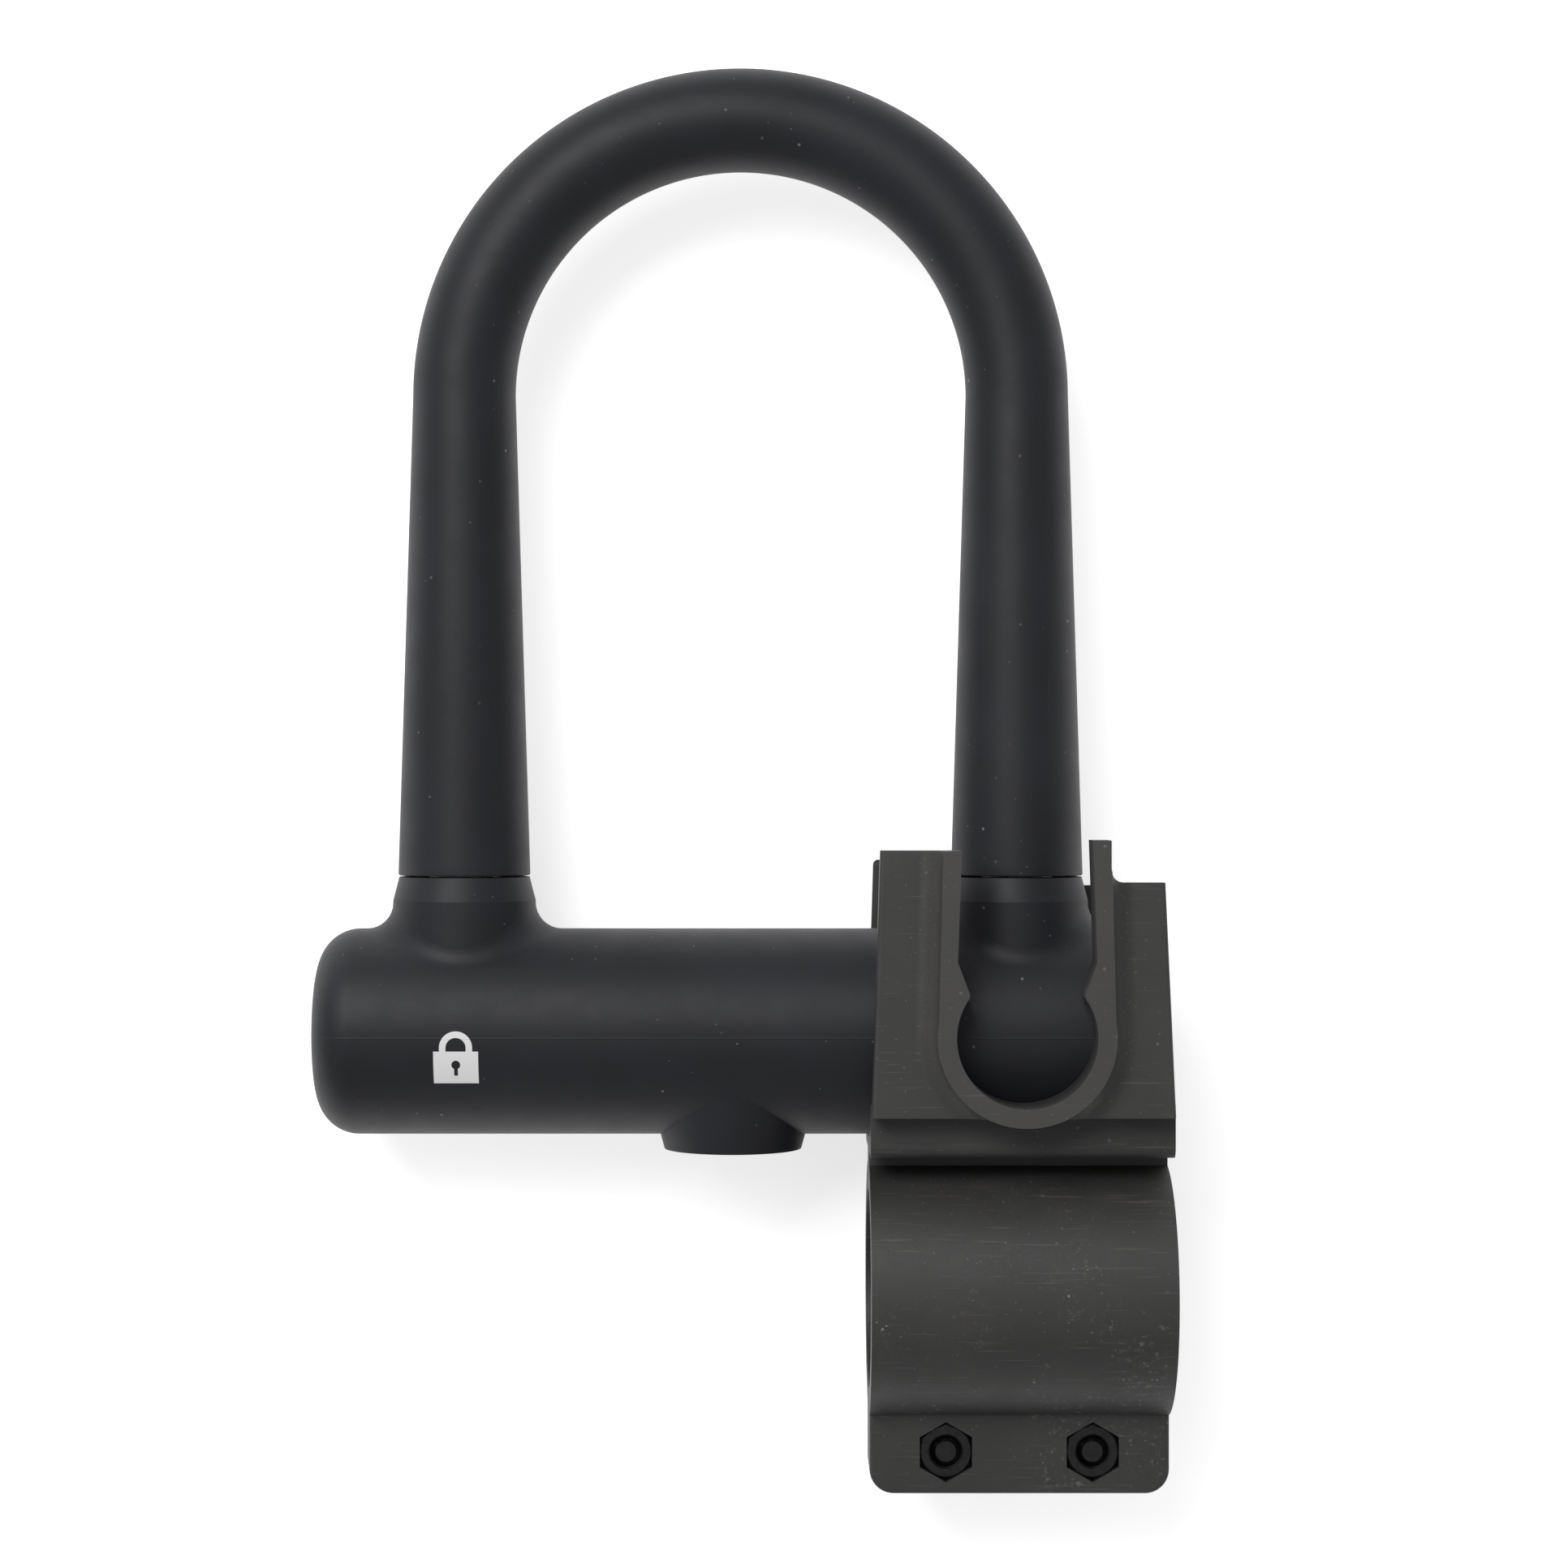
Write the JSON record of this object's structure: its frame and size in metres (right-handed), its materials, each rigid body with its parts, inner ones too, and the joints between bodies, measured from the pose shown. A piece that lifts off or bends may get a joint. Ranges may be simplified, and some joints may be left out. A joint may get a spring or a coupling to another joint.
{
  "type": "bicycle u lock",
  "caption": "Silicone-covered U lock with a tapered shackle, round crossbar and bottom keyhole, seated in a moulded frame bracket.",
  "frame": {"origin": "centre of the frame tube in the bracket's clamp, halfway along the clamp", "axes": "+X along the clamped tube and the crossbar, +Y from the clamp to the top of the U, +Z out of the lock's front"},
  "size_m": [0.1669, 0.2791, 0.055],
  "materials": {
    "silicone": "matte dark grey silicone",
    "moulded_nylon": "satin black moulded nylon",
    "nylon_bush": "smooth black nylon",
    "hardened_steel": "ground hardened steel",
    "zinc_steel": "zinc-plated steel",
    "brass_parts": "turned brass"
  },
  "bodies": {
    "bracket": {"bracket": "moulded_nylon", "clamp_bolts": "zinc_steel", "clamp_washers": "zinc_steel", "clamp_nuts": "zinc_steel"},
    "crossbar": {"crossbar_tube": "hardened_steel", "crossbar_sleeve": "silicone", "left_end_plug": "hardened_steel", "right_end_plug": "hardened_steel", "left_end_pin": "hardened_steel", "right_end_pin": "hardened_steel", "left_foot_bush": "nylon_bush", "right_foot_bush": "nylon_bush", "left_bolt_guide": "zinc_steel", "right_bolt_guide": "zinc_steel", "cylinder_housing": "brass_parts", "cylinder_pin": "hardened_steel", "keyhole_bezel": "moulded_nylon", "shutter_pin": "zinc_steel"},
    "shackle": {"shackle": "hardened_steel", "shackle_sleeve": "silicone"},
    "key_core": {"key_core": "brass_parts", "drill_plate": "hardened_steel", "detainer_discs": "brass_parts", "disc_spacers": "zinc_steel", "sidebar": "hardened_steel", "drive_cam": "zinc_steel"},
    "left_bolt": {"left_deadbolt": "hardened_steel", "left_drive_pin": "hardened_steel"},
    "right_bolt": {"right_deadbolt": "hardened_steel", "right_drive_pin": "hardened_steel"},
    "shutter": {"keyhole_shutter": "moulded_nylon"}
  },
  "joints": [
    {"name": "lock_lift", "type": "slide", "parent": "bracket", "child": "crossbar", "axis": [0, 1, 0], "range_m": [0, 0.065]},
    {"name": "shackle_lift", "type": "slide", "parent": "crossbar", "child": "shackle", "axis": [0, 1, 0], "range_m": [0, 0.05]},
    {"name": "key_turn", "type": "hinge", "parent": "crossbar", "child": "key_core", "pos_m": [-0.0559, 0.0505, 0], "axis": [0, 1, 0], "range_deg": [0, 90]},
    {"name": "left_bolt_throw", "type": "slide", "parent": "crossbar", "child": "left_bolt", "axis": [-1, 0, 0], "range_m": [0, 0.006]},
    {"name": "right_bolt_throw", "type": "slide", "parent": "crossbar", "child": "right_bolt", "axis": [1, 0, 0], "range_m": [0, 0.006]},
    {"name": "shutter_swing", "type": "hinge", "parent": "crossbar", "child": "shutter", "pos_m": [-0.0484, 0.0282, 0], "axis": [0, -1, 0], "range_deg": [0, 60]}
  ],
  "couplings": [
    {"joint": "key_turn", "follows": "left_bolt_throw", "rad_per_m": 261.8},
    {"joint": "right_bolt_throw", "follows": "left_bolt_throw", "ratio": 1}
  ]
}
